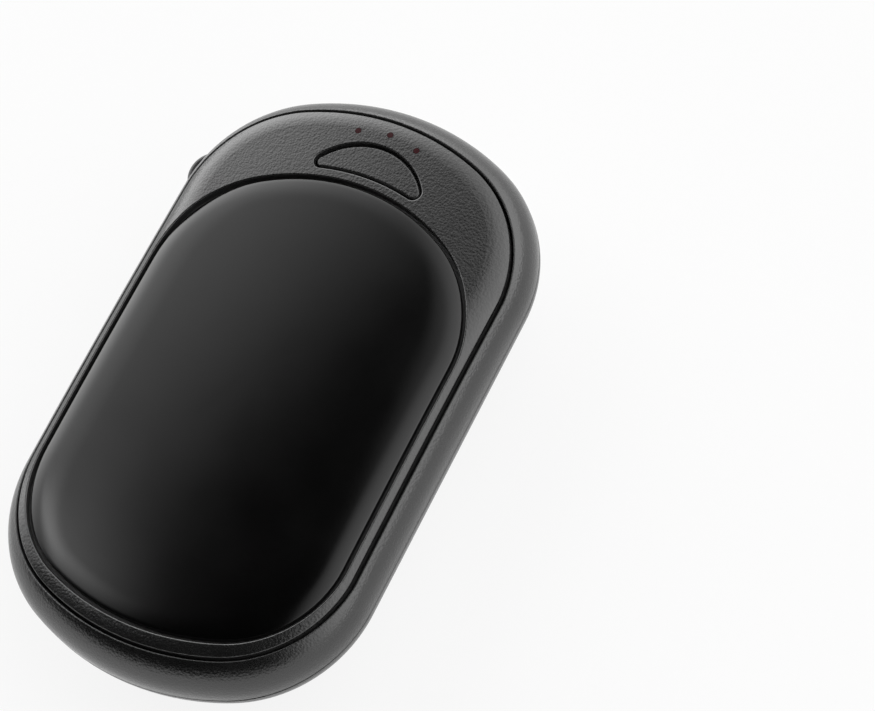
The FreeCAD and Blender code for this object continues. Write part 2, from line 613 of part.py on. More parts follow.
# Case shells
def make_rear_shell():
    posts = [rod(f"case_post_{number}", POST_RADIUS, x, y, "0", REAR_TOP)
             for number, (x, y) in enumerate(post_places)]
    posts += [rod(f"board_post_{number}", "screw_radius + board_post_wall", x, y, "0", BOARD_LEVEL)
              for number, (x, y) in enumerate(board_post_places)]
    inside = [common(f"{post.Name}_root", post, case_rear) for post in posts]
    lip_foot = f"{SEAM_HEIGHT} - seam_gap"
    lip_outer = prism("lip_outer", inset(CASE, "shell_wall - lip_thickness"), lip_foot, LIP_TOP)
    lip_inner = prism("lip_inner", inset(CASE, "shell_wall"), f"{lip_foot} - overrun", f"{LIP_TOP} + overrun")
    lip = cut("rear_lip", lip_outer, lip_inner, lip_gap_tool())
    shell = fuse("rear_walls", cut("rear_skin", case_rear, case_hollow), lip, *inside)
    pilots = [rod(f"case_pilot_{number}", "screw_radius + thread_gap", x, y,
                  f"{LEDGE_TOP} - screw_length - screw_relief", f"{SEAM_HEIGHT} + overrun")
              for number, (x, y) in enumerate(post_places)]
    pilots += [rod(f"board_pilot_{number}", "screw_radius + thread_gap", x, y,
                   f"{BOARD_TOP} - board_screw_length - screw_relief", f"{BOARD_LEVEL} + overrun")
               for number, (x, y) in enumerate(board_post_places)]
    socket_hole = usb_block("socket_hole", "fit_gap", PORT_BACK, f"{PORT_FACE} + overrun")
    opened = cut("rear_opened", shell, bay, scoop, socket_hole, *pilots)
    return sub_part(soften("rear_shell", opened, "seam_edge", "case_rear_plan"), "rear_shell")


def make_front_shell():
    opening = prism("bezel_opening", inset(BEZEL, "-bezel_gap / 2"), LEDGE_TOP, ABOVE)
    middle = prism("ledge_opening", inset(BEZEL, "bezel_gap / 2 + bezel_skirt"), SEAM_HEIGHT, ABOVE)
    under = prism("ledge_under", inset(CASE, "shell_wall"), SEAM_HEIGHT, LEDGE_FLOOR)
    rabbet = prism("lip_rabbet", inset(CASE, "shell_wall - lip_thickness - fit_gap"), SEAM_HEIGHT,
                   f"{LIP_TOP} + fit_gap")
    ring = cut("front_ring", case_front, opening, middle, under, rabbet)
    lugs = [rod(f"lug_{number}", POST_RADIUS, x, y, FRONT_FLOOR, LEDGE_TOP)
            for number, (x, y) in enumerate(post_places)]
    holes = [rod(f"lug_hole_{number}", "screw_radius + fit_gap", x, y, SEAM_HEIGHT, f"{LEDGE_TOP} + overrun")
             for number, (x, y) in enumerate(post_places)]
    shell = cut("front_opened", fuse("front_walls", ring, *lugs), scoop,
                lanyard_ring("loop_seat", "loop_bar_radius + fit_gap / 2"), *holes)
    return sub_part(soften("front_shell", shell, "bezel_edge", "bezel_opening_plan"), "front_shell")


# Bezel, heat panel and button
def crescent(name, amount, low, high):
    """The button plan drawn in by amount: one arc over another, closed by two small tip arcs."""
    body = doc.addObject("PartDesign::Body", name)
    sketch = new_sketch(body, f"{name}_plan", "XY_Plane", low)
    upper = f"button_crown_radius - ({amount})"
    lower = f"{PANEL_TOP_END} + button_base_rise + ({amount})"
    tip = f"button_tip_radius - ({amount})"
    upper_y = f"{PANEL_TOP} + button_base_rise + button_depth - button_crown_radius"
    lower_y = f"{PANEL_TOP} - {PANEL_TOP_END}"
    inner = value(upper) - value(tip)
    outer = value(lower) + value(tip)
    rise = value(upper_y) - value(lower_y)
    tip_y = value(lower_y) + (outer ** 2 - inner ** 2 + rise ** 2) / (2 * rise)
    tip_x = math.sqrt(outer ** 2 - (tip_y - value(lower_y)) ** 2)
    high_turn = math.atan2(tip_y - value(upper_y), tip_x)
    low_turn = math.atan2(tip_y - value(lower_y), tip_x)
    half = math.pi
    sketch.addGeometry([
        arc(0, value(upper_y), value(upper), high_turn, half - high_turn),
        arc(-tip_x, tip_y, value(tip), half - high_turn, 2 * half - low_turn),
        arc(0, value(lower_y), value(lower), low_turn, half - low_turn),
        arc(tip_x, tip_y, value(tip), half + low_turn, 2 * half + high_turn)], False)
    for first, end, second, start in ((0, 2, 1, 1), (1, 2, 2, 2), (2, 1, 3, 1), (3, 2, 0, 1)):
        sketch.addConstraint(Sketcher.Constraint("Tangent", first, end, second, start))
    for index in (0, 2):
        sketch.addConstraint(Sketcher.Constraint("PointOnObject", index, 3, -2))
    for index, text in ((0, upper), (1, tip), (2, lower), (3, tip)):
        fix(sketch, "Radius", index, text)
    fix(sketch, "DistanceY", -1, 1, 0, 3, upper_y)
    fix(sketch, "DistanceY", 2, 3, -1, 1, f"-({lower_y})")
    pad(body, sketch, f"({high}) - ({low})")
    return body


light_places = [("-light_offset", LIGHT_SIDE_Y), ("0", LIGHT_MIDDLE_Y), ("light_offset", LIGHT_SIDE_Y)]


def make_bezel():
    skirt = "bezel_gap / 2 + bezel_skirt"
    edge_form = prism("bezel_edge_form", inset(BEZEL, "bezel_gap / 2"), LEDGE_TOP, ABOVE)
    recess_form = prism("recess", inset(PANEL, "-panel_gap / 2"), LEDGE_TOP, ABOVE)
    recess = cut("panel_recess", recess_form, panel_seat)
    hollow = common("bezel_hollow", bezel_back, prism("hollow", inset(BEZEL, skirt), SEAM_HEIGHT, ABOVE))
    window = prism("panel_window", inset(PANEL, "window_inset"), SEAM_HEIGHT, ABOVE)
    aperture = crescent("button_aperture", "0", SEAM_HEIGHT, ABOVE)
    holes = [rod(f"light_hole_{number}", "light_radius + fit_gap / 2", x, y, SEAM_HEIGHT, ABOVE)
             for number, (x, y) in enumerate(light_places)]
    blank = common("bezel_blank", case_front, edge_form)
    opened = cut("bezel_opened", blank, recess, hollow, window, aperture, *holes)
    plans = ("bezel_edge_form_plan", "recess_plan", "button_aperture_plan")
    return sub_part(soften("bezel", opened, "bezel_edge", *plans), "bezel")


def make_heat_panel():
    form = prism("panel_form", inset(PANEL, "panel_gap / 2"), SEAM_HEIGHT, ABOVE)
    skin = cut("panel_skin", common("panel_blank", case_front, form), panel_back)
    return sub_part(soften("heat_panel", skin, "panel_edge", "panel_form_plan"), "heat_panel")


def make_front_film():
    form = prism("film_form", inset(PANEL, "window_inset + film_border"), SEAM_HEIGHT, ABOVE)
    film = cut("front_heater_film", common("film_blank", panel_seat, form), film_back)
    return sub_part(film, "front_heater_film")


def make_button():
    cap = common("button_cap", button_face, crescent("button_form", "button_gap", FLANGE_FLOOR, ABOVE))
    soft = soften("button_soft", cap, "button_edge", "button_form_plan")
    flange = crescent("button_flange_form", "-button_flange", FLANGE_FLOOR, FLANGE_TOP)
    plunger = rod("button_plunger", "plunger_radius", "0", SWITCH_Y, f"{STEM_TOP} + rest_gap", FLANGE_TOP)
    return sub_part(fuse("power_button", soft, flange, plunger), "power_button")


def make_lights():
    pipes = []
    leds = []
    led_top = f"{BOARD_TOP} + led_height"
    collar_top = f"{UNDERSIDE} - collar_gap"
    collar_floor = f"{collar_top} - collar_height"
    for number, (x, y) in enumerate(light_places):
        pin = rod(f"light_pin_{number}", "light_radius", x, y, f"{led_top} + fit_gap", ABOVE)
        trimmed = common(f"light_trim_{number}", pin, case_front)
        foot = rod(f"light_foot_{number}", "light_radius", x, y, f"{led_top} + fit_gap", collar_top)
        collar = rod(f"light_collar_{number}", "collar_radius", x, y, collar_floor, collar_top)
        pipes.append(fuse(f"light_pipe_{number}", trimmed, foot, collar))
        leds.append(block(f"led_{number}", f"({x}) - led_length / 2", f"({x}) + led_length / 2",
                          f"({y}) - led_width / 2", f"({y}) + led_width / 2", BOARD_TOP, led_top))
    sub_part(group("light_pipes", pipes), "light_pipes")
    sub_part(group("indicator_leds", leds), "indicator_leds")


# Control board and what is soldered to it
def make_board():
    body = doc.addObject("PartDesign::Body", "board_blank")
    sketch = new_sketch(body, "board_plan", "XY_Plane", BOARD_LEVEL)
    shoulder = f"{BOARD_BACK} + board_shoulder"
    tip = f"{BOARD_HALF} - board_tip_inset"
    right = [(BOARD_HALF, BOARD_BACK), (BOARD_HALF, shoulder), (tip, BOARD_FRONT)]
    corners = [(1, x, y) for x, y in right] + [(-1, x, y) for x, y in reversed(right)]
    spots = [(side * value(x), value(y)) for side, x, y in corners]
    for (x0, y0), (x1, y1) in zip(spots, spots[1:] + spots[:1]):
        sketch.addGeometry(line(x0, y0, x1, y1), False)
    for index, (side, x, y) in enumerate(corners):
        sketch.addConstraint(Sketcher.Constraint("Coincident", index, 2, (index + 1) % len(corners), 1))
        ends = (-1, 1, index, 1) if side > 0 else (index, 1, -1, 1)
        fix(sketch, "DistanceX", *ends, x)
        fix(sketch, "DistanceY", -1, 1, index, 1, y)
    pad(body, sketch, "board_thickness")
    holes = [rod(f"board_hole_{number}", "screw_radius + fit_gap", x, y, f"{BOARD_LEVEL} - overrun",
                 f"{BOARD_TOP} + overrun") for number, (x, y) in enumerate(board_post_places)]
    return sub_part(cut("main_board", body, *holes), "main_board")


def component(name, x, rise, length, width, low, high):
    """A component on the board, its middle at x and in front of the switch's middle by rise."""
    y = f"{SWITCH_Y} + {rise}"
    return block(name, f"{x} - {length} / 2", f"{x} + {length} / 2",
                 f"{y} - {width} / 2", f"{y} + {width} / 2", low, high)


def make_components():
    chips = [component("charge_chip", "-chip_offset", "chip_rise", "chip_side", "chip_side", BOARD_TOP,
                       f"{BOARD_TOP} + chip_height"),
             component("heater_driver", "-chip_offset", "chip_rise", "driver_length", "driver_width",
                       f"{BOARD_LEVEL} - driver_height", BOARD_LEVEL)]
    sub_part(group("board_chips", chips), "board_chips")
    coil = component("coil_block", "inductor_offset", "inductor_rise", "inductor_side", "inductor_side",
                     BOARD_TOP, f"{BOARD_TOP} + inductor_height")
    sub_part(upright_rounds("power_inductor", coil, "inductor_edge"), "power_inductor")


def make_switch():
    half = "switch_side / 2"
    room = "switch_side / 2 - switch_wall"
    shell = block("switch_block", f"-{half}", half, f"{SWITCH_Y} - {half}", f"{SWITCH_Y} + {half}",
                  BOARD_TOP, f"{BOARD_TOP} + switch_height")
    hollow = block("switch_hollow", f"-({room})", room, f"{SWITCH_Y} - ({room})", f"{SWITCH_Y} + {room}",
                   SWITCH_FLOOR, SWITCH_ROOF)
    bore = rod("switch_bore", "stem_radius + stem_clearance", "0", SWITCH_Y, SWITCH_FLOOR, STEM_TOP)
    sub_part(cut("switch_body", shell, hollow, bore), "switch_body")
    flange_top = f"{SWITCH_ROOF} - fit_gap"
    dome_top = f"{SWITCH_FLOOR} + dome_height"
    stem = rod("stem_post", "stem_radius", "0", SWITCH_Y, f"{dome_top} + rest_gap", STEM_TOP)
    flange = rod("stem_collar", "stem_radius + stem_flange", "0", SWITCH_Y,
                 f"{flange_top} - stem_flange_thickness", flange_top)
    sub_part(fuse("switch_stem", stem, flange), "switch_stem")
    bulge = "(dome_radius ^ 2 + dome_height ^ 2) / (2 * dome_height)"
    skins = []
    for name, radius in (("dome_outside", bulge), ("dome_inside", f"({bulge}) - dome_thickness")):
        ball = bind(doc.addObject("Part::Sphere", name), Radius=radius)
        skins.append(place(ball, "0", SWITCH_Y, f"{dome_top} - ({bulge})"))
    slab = rod("dome_slab", "dome_radius + overrun", "0", SWITCH_Y, SWITCH_FLOOR, f"{dome_top} + overrun")
    sub_part(common("switch_dome", cut("dome_skin", *skins), slab), "switch_dome")


def make_port():
    outer = usb_block("usb_outer", "0", PORT_BACK, PORT_FACE)
    inner = usb_block("usb_inner", "-usb_wall", f"{PORT_BACK} + usb_back", f"{PORT_FACE} + overrun")
    sub_part(cut("usb_c_shell", outer, inner), "usb_c_shell")
    tongue = block("usb_c_tongue", "-tongue_width / 2", "tongue_width / 2", f"{PORT_BACK} + usb_back",
                   f"{PORT_BACK} + usb_back + tongue_length", f"{PORT_HEIGHT} - tongue_thickness / 2",
                   f"{PORT_HEIGHT} + tongue_thickness / 2")
    sub_part(tongue, "usb_c_tongue")
    side = "bay_half_width + surround_side"
    blank = block("surround_block", f"-({side})", side, f"{PORT_FACE} - surround_thickness", CASE_HALF_LENGTH,
                  f"{BAY_FLOOR} - surround_floor", f"{REAR_TOP} - fit_gap")
    hole = usb_block("usb_hole", "fit_gap", PORT_BACK, f"{PORT_FACE} + overrun")
    sub_part(cut("port_surround", common("surround_blank", blank, inner_room), bay, hole), "port_surround")


# Cells, heaters and leads
def make_cells():
    cells = []
    tools = []
    for side in ("-", ""):
        x = f"{side}({CELL_OFFSET})"
        can = lying_rod(f"cell_can_{len(cells)}", "cell_radius", x, CELL_LEVEL, CELL_BACK, CELL_FRONT)
        doc.recompute()
        size = value("cell_edge")
        soft = doc.addObject("Part::Fillet", f"cell_{len(cells)}")
        soft.Base = can
        soft.Edges = [(index, size, size) for index, edge in enumerate(can.Shape.Edges, start=1)
                      if edge.isClosed()]
        cells.append(soft)
        tools.append(lying_rod(f"cell_room_{len(tools)}", "cell_radius + fit_gap", x, CELL_LEVEL,
                               f"{CELL_BACK} - overrun", f"{CELL_FRONT} + overrun"))
    sub_part(group("battery_cells", cells), "battery_cells")
    reach = f"{CELL_OFFSET} + cell_radius + cradle_side"
    tray = block("cradle_block", f"-({reach})", reach, f"{CELL_BACK} + cradle_end_inset",
                 f"{CELL_FRONT} - cradle_end_inset", CRADLE_LEVEL, f"{CRADLE_LEVEL} + cradle_height")
    sub_part(cut("cell_holder", common("cradle_blank", tray, inner_room), *tools), "cell_holder")
    foam = block("pad_block", "-pad_half_width", "pad_half_width", f"{CELL_BACK} + pad_end_inset",
                 f"{CELL_FRONT} - pad_end_inset", f"{CELL_LEVEL} + pad_rise", CROWN_HEIGHT)
    pad_room = dome("pad_room", "panel_thickness + fit_gap + film_thickness + pad_gap")
    sub_part(cut("cell_pad", common("pad_blank", foam, pad_room), *tools), "cell_pad")
    reach = f"{CELL_OFFSET} + strip_overlap"
    low = f"{CELL_LEVEL} - strip_height / 2"
    high = f"{CELL_LEVEL} + strip_height / 2"
    strips = [block(f"strip_{number}", f"-({reach})", reach, start, f"{start} + strip_thickness", low, high)
              for number, start in enumerate((CELL_FRONT, f"{CELL_BACK} - strip_thickness"))]
    sub_part(group("nickel_strips", strips), "nickel_strips")


def make_rear_heater():
    low = f"{CELL_BACK} + plate_end_inset"
    high = f"{CELL_FRONT} - plate_end_inset"
    plate = block("plate_block", f"-({PLATE_HALF})", PLATE_HALF, low, high, PLATE_LEVEL, CRADLE_LEVEL)
    sub_part(upright_rounds("rear_heat_plate", plate, "plate_corner"), "rear_heat_plate")
    half = f"{PLATE_HALF} - rear_film_border"
    film = block("rear_film_block", f"-({half})", half, f"{low} + rear_film_border",
                 f"{high} - rear_film_border", "shell_wall", PLATE_LEVEL)
    sheet_form = upright_rounds("rear_film_sheet", film, "plate_corner - rear_film_border")
    side = "rear_lead_offset + tab_side"
    tab = block("rear_film_tab", f"-({side})", side, f"{high} - plate_corner", f"{PAD_Y} + tab_reach",
                "shell_wall", PLATE_LEVEL)
    sub_part(fuse("rear_heater_film", sheet_form, tab), "rear_heater_film")


def make_sensor():
    start = f"{CELL_FRONT} + strip_thickness + sensor_gap"
    end = f"{start} + sensor_length"
    level = f"{PLATE_LEVEL} + sensor_radius"
    sub_part(lying_rod("temperature_sensor", "sensor_radius", "0", level, start, end), "temperature_sensor")
    rise_y = f"{end} + sensor_lead_run"
    leads = [lead(f"sensor_lead_{number}", "sensor_lead_radius", (x, end, level), (x, rise_y, level),
                  (x, rise_y, BOARD_LEVEL))
             for number, x in enumerate(("-sensor_lead_offset", "sensor_lead_offset"))]
    sub_part(group("sensor_leads", leads), "sensor_leads")


def make_leads():
    plus_y = f"{CELL_FRONT} + strip_thickness + lead_radius"
    minus_y = f"{CELL_BACK} - strip_thickness - lead_radius"
    plus_top = f"{BOARD_TOP} + supply_rise"
    minus_top = f"{CELL_LEVEL} + return_rise"
    plus = lead("lead_plus", "lead_radius", ("supply_offset", plus_y, CELL_LEVEL),
                ("supply_offset", plus_y, plus_top), ("supply_offset", PAD_Y, plus_top),
                ("supply_offset", PAD_Y, BOARD_TOP))
    minus = lead("lead_minus", "lead_radius", ("0", minus_y, CELL_LEVEL), ("0", minus_y, minus_top),
                 ("0", PAD_Y, minus_top), ("0", PAD_Y, BOARD_TOP))
    sub_part(group("battery_leads", [plus, minus]), "battery_leads")
    from_y = f"{PANEL_TOP} - window_inset - film_border - front_lead_inset"
    film = "(panel_thickness + fit_gap + film_thickness + lead_touch)"
    start = (f"{CROWN_HEIGHT} - {film} - ({from_y}) ^ 2 / (2 * spine_radius)"
             " - front_lead_offset ^ 2 / (2 * crown_radius)")
    drop = f"{start} - front_lead_drop"
    front = [lead(f"front_lead_{number}", "lead_radius", (x, from_y, start), (x, from_y, drop),
                  (x, PAD_Y, drop), (x, PAD_Y, BOARD_TOP))
             for number, x in enumerate(("-front_lead_offset", "front_lead_offset"))]
    sub_part(group("front_heater_leads", front), "front_heater_leads")
    rear = [rod(f"rear_lead_{number}", "lead_radius", x, PAD_Y, PLATE_LEVEL, BOARD_LEVEL)
            for number, x in enumerate(("-rear_lead_offset", "rear_lead_offset"))]
    sub_part(group("rear_heater_leads", rear), "rear_heater_leads")


def screws(name, places, seat, length):
    """Pan-head screws with a cross recess, heads on the seat."""
    items = []
    top = f"{seat} + head_height"
    slot_sizes = (("long", "drive_length / 2", "drive_width / 2"),
                  ("wide", "drive_width / 2", "drive_length / 2"))
    for number, (x, y) in enumerate(places):
        head = rod(f"{name}_head_{number}", "head_radius", x, y, seat, top)
        shank = rod(f"{name}_shank_{number}", "screw_radius", x, y, f"{seat} - {length}", seat)
        slots = [block(f"{name}_{slot}_{number}", f"{x} - {across}", f"{x} + {across}", f"{y} - {along}",
                       f"{y} + {along}", f"{top} - drive_depth", f"{top} + overrun")
                 for slot, across, along in slot_sizes]
        items.append(cut(f"{name}_{number}", fuse(f"{name}_blank_{number}", head, shank), *slots))
    return sub_part(group(name, items), name)


make_rear_shell()
make_front_shell()
make_bezel()
make_heat_panel()
make_front_film()
make_button()
make_lights()
make_board()
make_components()
make_switch()
make_port()
make_cells()
make_rear_heater()
make_sensor()
make_leads()
screws("case_screws", post_places, LEDGE_TOP, "screw_length")
screws("board_screws", board_post_places, BOARD_TOP, "board_screw_length")
sub_part(lanyard_ring("lanyard_loop", "loop_bar_radius"), "lanyard_loop")
doc.recompute()
for item in doc.Objects:
    if "Invalid" in item.State or "Error" in item.State:
        raise RuntimeError(f"{item.Name} failed: {item.State}")
os.makedirs("parts", exist_ok=True)
for item in sub_parts:
    if item.Shape.isNull() or not item.Shape.isValid():
        raise RuntimeError(f"{item.Label} has no valid shape")
    item.Shape.exportStep(f"parts/{item.Label}.step")
    print(item.Label, len(item.Shape.Solids), round(item.Shape.Volume, 2))
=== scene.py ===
"""Looks of the rechargeable hand warmer: finishes, floor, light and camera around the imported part.

Metres, in the part's own frame: the case lies on its flat back at z = 0, +Z leaves the heat panel,
+Y is the button end and +X the right-hand side seen from the front.
"""

import json
import math

import bpy
from mathutils import Matrix, Vector


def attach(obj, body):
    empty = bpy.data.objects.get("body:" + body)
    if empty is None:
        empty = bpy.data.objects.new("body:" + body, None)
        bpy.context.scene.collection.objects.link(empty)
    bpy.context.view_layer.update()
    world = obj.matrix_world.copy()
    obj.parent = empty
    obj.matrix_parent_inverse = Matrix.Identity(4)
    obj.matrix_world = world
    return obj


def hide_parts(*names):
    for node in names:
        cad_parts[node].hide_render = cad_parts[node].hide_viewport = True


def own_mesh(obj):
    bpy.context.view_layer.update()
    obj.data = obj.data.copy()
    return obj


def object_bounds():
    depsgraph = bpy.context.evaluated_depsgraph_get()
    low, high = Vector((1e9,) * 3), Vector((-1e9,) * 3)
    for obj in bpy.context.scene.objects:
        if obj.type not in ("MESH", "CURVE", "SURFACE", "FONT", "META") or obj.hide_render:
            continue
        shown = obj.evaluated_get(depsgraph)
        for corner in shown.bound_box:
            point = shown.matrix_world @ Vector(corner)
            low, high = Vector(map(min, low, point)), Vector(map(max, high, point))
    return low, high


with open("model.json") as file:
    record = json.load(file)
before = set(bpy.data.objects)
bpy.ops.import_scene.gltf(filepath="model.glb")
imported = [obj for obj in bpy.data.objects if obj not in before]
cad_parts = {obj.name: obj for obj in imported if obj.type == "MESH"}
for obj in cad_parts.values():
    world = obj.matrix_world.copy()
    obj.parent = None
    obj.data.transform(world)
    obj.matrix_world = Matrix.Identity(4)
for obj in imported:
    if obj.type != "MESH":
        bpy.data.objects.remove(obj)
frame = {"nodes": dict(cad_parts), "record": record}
cad_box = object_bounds()
nodes = frame["nodes"]
MM = 0.001

# Range of a noise's values that the finishes spread
NOISE_LOW = 0.3
NOISE_HIGH = 0.7
# Pointiness at which the wear on an edge starts and is full
WEAR_START = 0.53
WEAR_FULL = 0.62
# Narrow gaps: reach and samples of their test, its values deep in a gap and on an open face, and the
# roughness that a gap adds
GAP_REACH = 1.2 * MM
GAP_SAMPLES = 8
GAP_DEEP = 0.35
GAP_OPEN = 0.8
GAP_ROUGHNESS = 0.5


# Node helpers
class Shader:
    """A material's node tree with short calls for the nodes used here."""

    def __init__(self, name):
        self.material = bpy.data.materials.new(name)
        self.material.use_nodes = True
        self.tree = self.material.node_tree
        self.bsdf = self.tree.nodes["Principled BSDF"]
        self.output = self.tree.nodes["Material Output"]
        self.where = self.node("ShaderNodeTexCoord").outputs["Object"]

    def node(self, kind, **settings):
        made = self.tree.nodes.new(kind)
        for key, value in settings.items():
            setattr(made, key, value)
        return made

    def link(self, source, target):
        self.tree.links.new(source, target)

    def put(self, target, value):
        """Set a socket to a number or a colour, or link an output to it."""
        if isinstance(value, bpy.types.NodeSocket):
            self.link(value, target)
        else:
            target.default_value = value

    def set(self, **inputs):
        """Set or link the surface shader's sockets, named with _ for a space."""
        for key, value in inputs.items():
            self.put(self.bsdf.inputs[key.replace("_", " ")], value)

    def noise(self, scale, detail=3.0):
        made = self.node("ShaderNodeTexNoise")
        self.link(self.where, made.inputs["Vector"])
        made.inputs["Scale"].default_value = scale
        made.inputs["Detail"].default_value = detail
        return made.outputs["Fac"]

    def drifted(self, scale, reach):
        """The place on the object, shifted a little by a noise."""
        drift = self.node("ShaderNodeTexNoise")
        self.link(self.where, drift.inputs["Vector"])
        drift.inputs["Scale"].default_value = scale
        shift = self.node("ShaderNodeVectorMath", operation="SCALE")
        self.link(drift.outputs["Color"], shift.inputs[0])
        shift.inputs["Scale"].default_value = reach
        total = self.node("ShaderNodeVectorMath", operation="ADD")
        self.link(self.where, total.inputs[0])
        self.link(shift.outputs["Vector"], total.inputs[1])
        return total.outputs["Vector"]

    def cells(self, where, scale, smoothness):
        made = self.node("ShaderNodeTexVoronoi", feature="SMOOTH_F1")
        self.link(where, made.inputs["Vector"])
        made.inputs["Scale"].default_value = scale
        made.inputs["Smoothness"].default_value = smoothness
        return made.outputs["Distance"]

    def remap(self, value, low, high, to_low, to_high):
        made = self.node("ShaderNodeMapRange")
        for socket, number in zip(made.inputs, (value, low, high, to_low, to_high)):
            self.put(socket, number)
        return made.outputs["Result"]

    def spread(self, noise, to_low=0.0, to_high=1.0):
        """A noise's middle values spread over a range."""
        return self.remap(noise, NOISE_LOW, NOISE_HIGH, to_low, to_high)

    def math(self, operation, first, second):
        made = self.node("ShaderNodeMath", operation=operation)
        self.put(made.inputs[0], first)
        self.put(made.inputs[1], second)
        return made.outputs["Value"]

    def mix(self, share, first, second):
        made = self.node("ShaderNodeMix", data_type="RGBA")
        self.put(made.inputs["Factor"], share)
        self.put(made.inputs[6], first)
        self.put(made.inputs[7], second)
        return made.outputs[2]

    def wear(self):
        """1 on edges that stand out, 0 on flats and hollows."""
        pointed = self.node("ShaderNodeNewGeometry").outputs["Pointiness"]
        return self.remap(pointed, WEAR_START, WEAR_FULL, 0.0, 1.0)

    def gap(self):
        """1 deep in the narrow gaps between pieces, 0 on open faces."""
        made = self.node("ShaderNodeAmbientOcclusion", samples=GAP_SAMPLES)
        made.inputs["Distance"].default_value = GAP_REACH
        return self.remap(made.outputs["AO"], GAP_DEEP, GAP_OPEN, 1.0, 0.0)

    def bump(self, height, strength, distance):
        made = self.node("ShaderNodeBump")
        made.inputs["Strength"].default_value = strength
        made.inputs["Distance"].default_value = distance
        self.link(height, made.inputs["Height"])
        self.link(made.outputs["Normal"], self.bsdf.inputs["Normal"])

    def gloss(self, roughness, worn, polish):
        """Set the roughness: less of it on worn edges, more in gaps."""
        roughness = self.math("SUBTRACT", roughness, self.math("MULTIPLY", worn, polish))
        self.set(Roughness=self.math("ADD", roughness, self.math("MULTIPLY", self.gap(), GAP_ROUGHNESS)))


def rgb(red, green, blue):
    return (red, green, blue, 1.0)


def grey(level):
    return rgb(level, level, level)


# Leather grain of the moulded plastic: its pebbles and how far they drift, the fine grain on them, and dust
GRAIN_SHINE = 0.9
PEBBLE_SCALE = 2700.0
PEBBLE_SMOOTHNESS = 0.4
DRIFT_SCALE = 1600.0
DRIFT_REACH = 0.25 * MM
FINE_SCALE = 7000.0
FINE_SHARE = 0.4
GRAIN_STRENGTH = 0.3
GRAIN_DEPTH = 0.09 * MM
GRAIN_GLOSS_SPREAD = 0.05
DUST_SCALE = 160.0
DUST_SHADE = 1.3
DUST_GLOSS = 0.03
GRAIN_WEAR = 0.35
GRAIN_WEAR_SHADE = 3.0
GRAIN_POLISH = 0.06


def grained_plastic(name, level, roughness):
    """Black moulded plastic with a fine leather grain: small pebbles parted by shallow creases."""
    made = Shader(name)
    made.set(Specular_IOR_Level=GRAIN_SHINE)
    pebbles = made.cells(made.drifted(DRIFT_SCALE, DRIFT_REACH), PEBBLE_SCALE, PEBBLE_SMOOTHNESS)
    fine = made.noise(FINE_SCALE, 2.0)
    height = made.math("ADD", made.math("MULTIPLY", pebbles, -1.0), made.math("MULTIPLY", fine, FINE_SHARE))
    made.bump(height, GRAIN_STRENGTH, GRAIN_DEPTH)
    dust = made.spread(made.noise(DUST_SCALE))
    worn = made.wear()
    coat = made.mix(dust, grey(level), grey(level * DUST_SHADE))
    rubbed = made.math("MULTIPLY", worn, GRAIN_WEAR)
    made.set(Base_Color=made.mix(rubbed, coat, grey(level * GRAIN_WEAR_SHADE)))
    uneven = made.spread(fine, roughness - GRAIN_GLOSS_SPREAD, roughness + GRAIN_GLOSS_SPREAD)
    made.gloss(made.math("ADD", uneven, made.math("MULTIPLY", dust, DUST_GLOSS)), worn, GRAIN_POLISH)
    return made.material


# Satin coat of the heat panel: the spray's mist, and clouds in shade and gloss
MIST_SCALE = 9000.0
MIST_STRENGTH = 0.1
MIST_DEPTH = 0.02 * MM
MIST_GLOSS_SPREAD = 0.03
CLOUD_SCALE = 90.0
CLOUD_SHADE = 1.3
CLOUD_GLOSS_SPREAD = 0.015
COAT_WEAR = 0.3
COAT_WEAR_SHADE = 4.0
COAT_POLISH = 0.05


def satin_coat(name, level, roughness):
    """Smooth satin black coat over the metal heat panel, with a very fine spray texture."""
    made = Shader(name)
    mist = made.noise(MIST_SCALE, 2.0)
    clouds = made.noise(CLOUD_SCALE, 4.0)
    made.bump(mist, MIST_STRENGTH, MIST_DEPTH)
    worn = made.wear()
    coat = made.mix(made.spread(clouds), grey(level), grey(level * CLOUD_SHADE))
    rubbed = made.math("MULTIPLY", worn, COAT_WEAR)
    made.set(Base_Color=made.mix(rubbed, coat, grey(level * COAT_WEAR_SHADE)))
    uneven = made.spread(mist, roughness - MIST_GLOSS_SPREAD, roughness + MIST_GLOSS_SPREAD)
    clouded = made.spread(clouds, -CLOUD_GLOSS_SPREAD, CLOUD_GLOSS_SPREAD)
    made.gloss(made.math("ADD", uneven, clouded), worn, COAT_POLISH)
    return made.material


